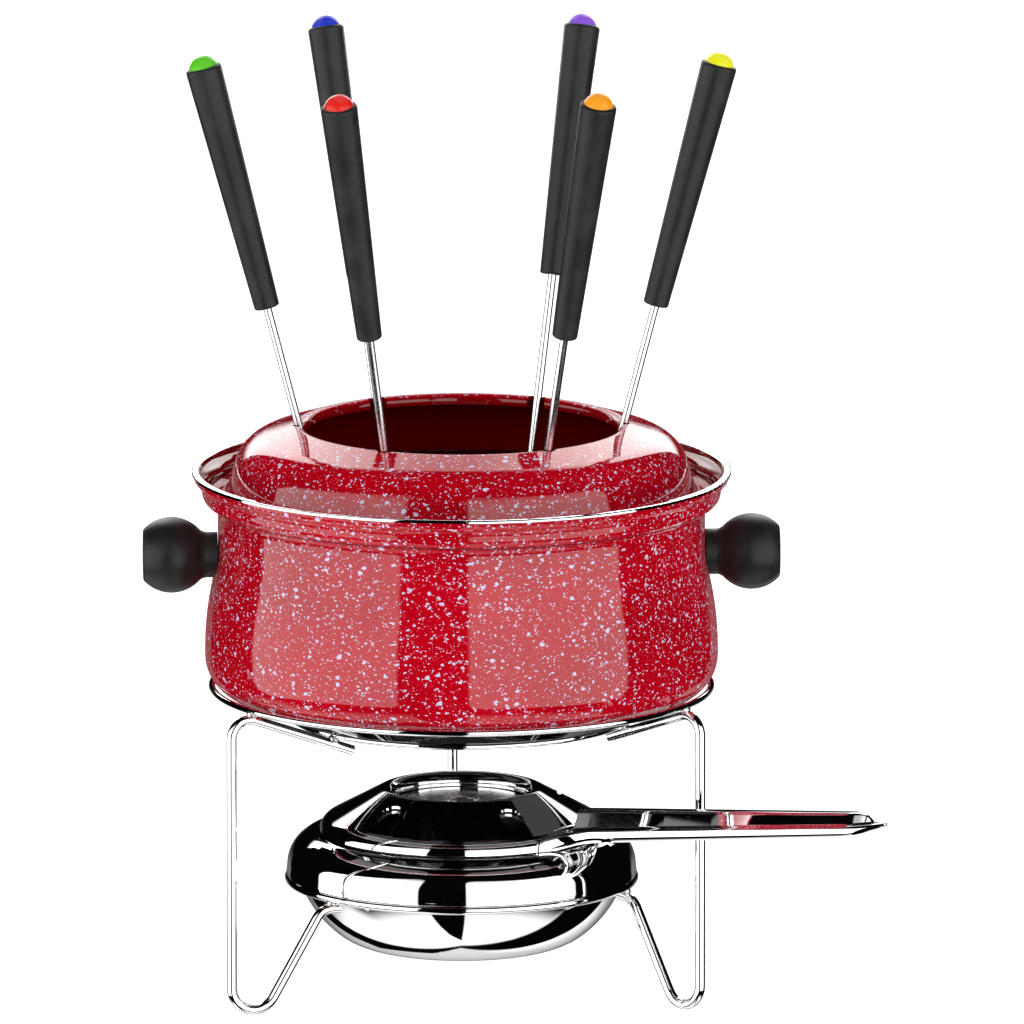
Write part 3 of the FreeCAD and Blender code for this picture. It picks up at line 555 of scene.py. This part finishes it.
def handle_section(u):
    """The stamped sheet's outer line on one side, from the middle of the spine to the hem."""
    half = handle_half(u)
    along = unit((u - SPINE_START) / (SPINE_END - SPINE_START))
    crest, brim, hem = (root + (tip - root) * along for root, tip in zip(ROOT_LEVELS, TIP_LEVELS))
    shrink = min(1.0, half / TIP_HALF)
    hem = brim + (hem - brim) * (POINT_HEM + (1 - POINT_HEM) * shrink)

    nose = max(0.0, (u - (SPINE_END - NOSE)) / NOSE)
    rise = unit((u - SPINE_START) / SPINE_FACE) * math.sqrt(max(0.0, 1 - nose ** NOSE_POWER))
    crest = brim + max(SPINE_LEAST, (crest - brim) * rise)
    foot = (min(half, WAIST_HALF) - BRIM) * (1 - NOSE_PINCH * nose ** 2)
    least, most = (half * share for share in FOOT_RANGE)
    foot = min(max(foot, least), most)
    top = foot - min(SPINE_SLOPE * (crest - brim), foot * CREST_PINCH)

    corners = [Vector((0, crest)), Vector((top, crest)), Vector((foot, brim)),
               Vector((half - LIP * shrink, brim)), Vector((half, hem))]
    line = [corners[0]]
    for before, corner, after, radius in zip(corners, corners[1:], corners[2:], FILLETS):
        line += fillet(before, corner, after, radius)
    line.append(corners[-1])
    near = unit((DROOP_END - u) / (DROOP_END - DROOP_START))
    for point in line:
        side = (point.x / half) ** 2
        point.y += CROWN * (1 - side) - DROOP * near * near * side
    return line


def shell_section(line, wall):
    """Closes a sheet's outer line, mirrored to both sides, with its inner line."""
    whole = [Vector((-p.x, p.y)) for p in reversed(line[1:])] + line
    inner = []
    for at, point in enumerate(whole):
        along = whole[min(at + 1, len(whole) - 1)] - whole[max(at - 1, 0)]
        across = Vector((along.y, -along.x))
        inner.append(point + across.normalized() * wall)
    return whole + inner[::-1]


def handle_piece(material):
    """The regulator's stamped handle, skinned through its cross-sections."""
    turn = Matrix.Rotation(HANDLE_ANGLE, 3, "Z") @ Matrix.Rotation(-HANDLE_PITCH, 3, "Y")
    root = Vector((0, 0, HANDLE_ROOT_Z))
    stations = {round(start + spacing * n, 3) for start, spacing, number in STATIONS
                for n in range(number)}
    bm = bmesh.new()
    rings = []
    for u in sorted(stations):
        section = shell_section(handle_section(u), SHEET)
        spots = [turn @ Vector((u, point.x, point.y)) + root for point in section]
        rings.append([bm.verts.new(spot * MM) for spot in spots])
    for before, after in zip(rings, rings[1:]):
        for n in range(len(before)):
            m = (n + 1) % len(before)
            bm.faces.new((before[n], before[m], after[m], after[n]))
    for ring in (rings[0], rings[-1]):
        for n in range(len(ring) // 2 - 1):
            bm.faces.new((ring[n], ring[n + 1], ring[-2 - n], ring[-1 - n]))
    piece = mesh_object("regulator_handle", bm, material)
    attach(piece, "regulator")
    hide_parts("burner_handle")


# ---------------------------------------------------------------- studio

BLACK = (0, 0, 0, 1)
WHITE = (1, 1, 1, 1)

# What mirrors see of the world. Bearings are in degrees: azimuth 0 is in front of the set and
# grows to the right. A softbox is its middle, half its width, its top straight in front, and how
# much the top falls for each degree aside. A ramp is its start, its end, and the levels at both.
LEFT_BOX = (-70.5, 39.5, 58.8, 0.41)
RIGHT_BOX = (39.8, 38.3, 43.0, 0.16)
BOX_FOOT = -28.5
BOX_CORNER = 9.0
BOX_SOFT = 1.0
BOX_LEVEL = 2.3
BOX_BY_HEIGHT = (22.0, 46.0, 1.0, 0.12)
GAP = (-31.0, 1.5)
GAP_SOFT = 0.8
DARK_ROOM = 0.0015

# The floor as mirrors see it, laid out in plan one unit below them: pale in front, then dark,
# then pale again behind an edge that leans back on both sides.
LEAST_DEPTH = 0.02
EDGE_SOFT = 0.03
NEAR_EDGE = 0.15
NEAR_LEAN = 1.2
NEAR_LEVEL = 0.5
NEAR_HORIZON = (0.0, 0.5, -50.0, -36.0)
NEAR_HORIZON_SOFT = 7.0
FAR_EDGE = 0.23
FAR_LEAN_LEFT = 2.2
FAR_LEAN_RIGHT = 0.95
FAR_BY_HEIGHT = (-75.0, -11.0, 0.85, 0.42)
FAR_BY_TURN = (138.0, 166.0, 2.0, 1.0)
FAR_AT_HORIZON = (-34.0, -20.0, 1.0, 0.4)
FAR_TOP = (-12.0, 2.0, 1.0, 0.0)
FAR_SIDE = (-30.0, -18.0, 132.0, 150.0)
FAR_SIDE_SOFT = 3.0

# What matt surfaces and the eye see.
AMBIENT = (-60.0, 60.0, 0.5, 0.85)
GROUND_WHITE = 1.3


def studio():
    """A white room; mirrors see two tall softboxes in front, the gap between them and the floor."""
    world = bpy.data.worlds.new("studio")
    world.use_nodes = True
    scene.world = world
    g = Graph(world.node_tree)
    parts = g.node("SeparateXYZ", {"Vector": g.node("TexCoord").outputs["Generated"]})
    x, y, z = (parts.outputs[axis] for axis in "XYZ")

    def times(*values):
        product = values[0]
        for value in values[1:]:
            product = g.math("MULTIPLY", product, value)
        return product

    def minus(value):
        return g.math("MULTIPLY", value, -1.0)

    def step(value, edge, soft, start=0.0, end=1.0):
        """A soft step where a value passes an edge, which may itself be a socket."""
        return g.ramp(g.math("SUBTRACT", value, edge), -soft, soft, start, end)

    def past(value, middle, half):
        """How far a value lies outside the straight part of a rounded side."""
        away = g.math("ABSOLUTE", g.math("SUBTRACT", value, middle))
        return g.math("MAXIMUM", g.math("SUBTRACT", away, half), 0.0)

    def square(value):
        return g.math("POWER", value, 2.0)

    azimuth = g.math("MULTIPLY", g.math("ARCTAN2", x, minus(y)), math.degrees(1))
    elevation = g.math("MULTIPLY", g.math("ARCSINE", z), math.degrees(1))
    turned = g.math("ABSOLUTE", azimuth)

    def softbox(middle, half, top, lean):
        """A rounded rectangle whose upper edge leans down away from the front."""
        edge = g.math("MULTIPLY_ADD", turned, -lean, top)
        centre = g.math("MULTIPLY", g.math("ADD", edge, BOX_FOOT), 0.5)
        tall = g.math("MULTIPLY", g.math("SUBTRACT", edge, BOX_FOOT), 0.5)
        aside = past(azimuth, middle, half - BOX_CORNER)
        above = past(elevation, centre, g.math("SUBTRACT", tall, BOX_CORNER))
        out = g.math("SQRT", g.math("ADD", square(aside), square(above)))
        return g.ramp(out, BOX_CORNER - BOX_SOFT, BOX_CORNER + BOX_SOFT, 1.0, 0.0)

    boxes = times(g.math("ADD", softbox(*LEFT_BOX), softbox(*RIGHT_BOX)),
                  g.ramp(elevation, *BOX_BY_HEIGHT))

    depth = g.math("MAXIMUM", minus(z), LEAST_DEPTH)
    plan_x, plan_y = g.math("DIVIDE", x, depth), g.math("DIVIDE", y, depth)
    leftward = g.math("MAXIMUM", minus(plan_x), 0.0)
    rightward = g.math("MAXIMUM", plan_x, 0.0)

    near_edge = g.math("MULTIPLY_ADD", leftward, NEAR_LEAN, NEAR_EDGE)
    horizon = g.ramp(plan_y, *NEAR_HORIZON)
    low, high = GAP
    gap = times(step(azimuth, low, GAP_SOFT), step(azimuth, high, GAP_SOFT, 1.0, 0.0))
    near = times(step(plan_y, near_edge, EDGE_SOFT, NEAR_LEVEL, 0.0),
                 step(elevation, horizon, NEAR_HORIZON_SOFT, 1.0, 0.0),
                 g.math("SUBTRACT", 1.0, gap))

    far_edge = g.math("MULTIPLY_ADD", leftward, FAR_LEAN_LEFT, FAR_EDGE)
    far_edge = g.math("MULTIPLY_ADD", rightward, FAR_LEAN_RIGHT, far_edge)
    far = times(step(plan_y, far_edge, EDGE_SOFT), g.ramp(elevation, *FAR_BY_HEIGHT),
                g.ramp(turned, *FAR_BY_TURN), g.ramp(elevation, *FAR_AT_HORIZON),
                g.ramp(elevation, *FAR_TOP),
                step(turned, g.ramp(elevation, *FAR_SIDE), FAR_SIDE_SOFT))

    lit = g.math("ADD", times(g.math("MAXIMUM", boxes, near), BOX_LEVEL), far)
    mirror = g.math("ADD", lit, DARK_ROOM)
    path = g.node("LightPath")
    glossy = path.outputs["Is Glossy Ray"]
    matt = times(g.math("SUBTRACT", 1.0, glossy), g.ramp(elevation, *AMBIENT))
    level = g.math("ADD", times(glossy, mirror), matt)
    level = g.math("MAXIMUM", level, times(path.outputs["Is Camera Ray"], GROUND_WHITE))
    background = world.node_tree.nodes["Background"]
    background.inputs["Color"].default_value = WHITE
    g.put(background.inputs["Strength"], level)


PANEL_HALF = 0.30
PANEL_FOOT = 0.22
PANEL_TOP = 1.0
PANEL_BACK = 0.45
PANEL_LEVEL = 4.0
PANEL_FOOT_FADE = (0.23, 0.31)
PANEL_TOP_FADE = (0.7, 0.98)
PANEL_MIDDLE = (0.02, 0.2, 0.4, 1.0)


def back_panel():
    """A tall glowing panel behind the set, weaker in the middle; only mirrors see it."""
    bm = bmesh.new()
    corners = ((-PANEL_HALF, PANEL_FOOT), (PANEL_HALF, PANEL_FOOT),
               (PANEL_HALF, PANEL_TOP), (-PANEL_HALF, PANEL_TOP))
    bm.faces.new([bm.verts.new((x, PANEL_BACK, z)) for x, z in corners])
    g = Finish("panel_glow", Roughness=1.0, Specular_IOR_Level=0.0,
               Base_Color=BLACK, Emission_Color=WHITE)
    place = g.node("SeparateXYZ", {"Vector": g.place})
    height, across = place.outputs["Z"], g.math("ABSOLUTE", place.outputs["X"])
    lit = g.math("MULTIPLY", g.ramp(height, *PANEL_FOOT_FADE),
                 g.ramp(height, *PANEL_TOP_FADE, PANEL_LEVEL, 0.0))
    g.set("Emission Strength", g.math("MULTIPLY", lit, g.ramp(across, *PANEL_MIDDLE)))
    panel = mesh_object("back_panel", bm, g.material)
    panel.visible_camera = False
    panel.visible_diffuse = False
    panel.visible_shadow = False
    panel.visible_transmission = False


FLOOR_HALF = 12.0
PAPER_TOOTH = 900.0
PAPER_BUMP = 0.1
PAPER_GLOW = 0.6
PAPER_DARK = (0.9, 0.9, 0.9, 1)
PAPER_PALE = (0.94, 0.94, 0.94, 1)


def floor():
    """White paper that mirrors don't see."""
    bm = bmesh.new()
    bmesh.ops.create_grid(bm, x_segments=2, y_segments=2, size=FLOOR_HALF)
    g = Finish("floor_paper", Roughness=0.9, Specular_IOR_Level=0.1,
               Emission_Strength=PAPER_GLOW, Emission_Color=WHITE)
    tooth = g.noise(g.place, PAPER_TOOTH)
    g.set("Base Color", g.mix(tooth, PAPER_DARK, PAPER_PALE))
    g.bump(tooth, PAPER_BUMP, FINE_RELIEF)
    paper = mesh_object("floor", bm, g.material)
    paper.visible_glossy = False


SET_MIDDLE = Vector((0, 0, 0.17))

# Lamps: azimuth, elevation, distance, size and power.
LAMPS = {
    "key": (-35.0, 40.0, 1.6, 1.2, 5.0),
    "fill": (45.0, 30.0, 1.8, 1.4, 3.0),
}


def lamp(name, azimuth, elevation, distance, size, power):
    """A large soft area light aimed at the middle of the set; mirrors don't see it."""
    data = bpy.data.lights.new(name, "AREA")
    data.shape = "SQUARE"
    data.size = size
    data.energy = power
    light = bpy.data.objects.new(name, data)
    scene.collection.objects.link(light)
    way = bearing(math.radians(azimuth), math.radians(elevation))
    light.location = SET_MIDDLE + way * distance
    light.rotation_mode = "QUATERNION"
    light.rotation_quaternion = (-way).to_track_quat("-Z", "Y")
    light.visible_glossy = False
    light.visible_camera = False


make_camera()
made = finishes()
dress_nodes(made)
handle_piece(made["burner_polish"])
studio()
back_panel()
floor()
for name, settings in LAMPS.items():
    lamp(name, *settings)
scene.view_settings.view_transform = "Standard"
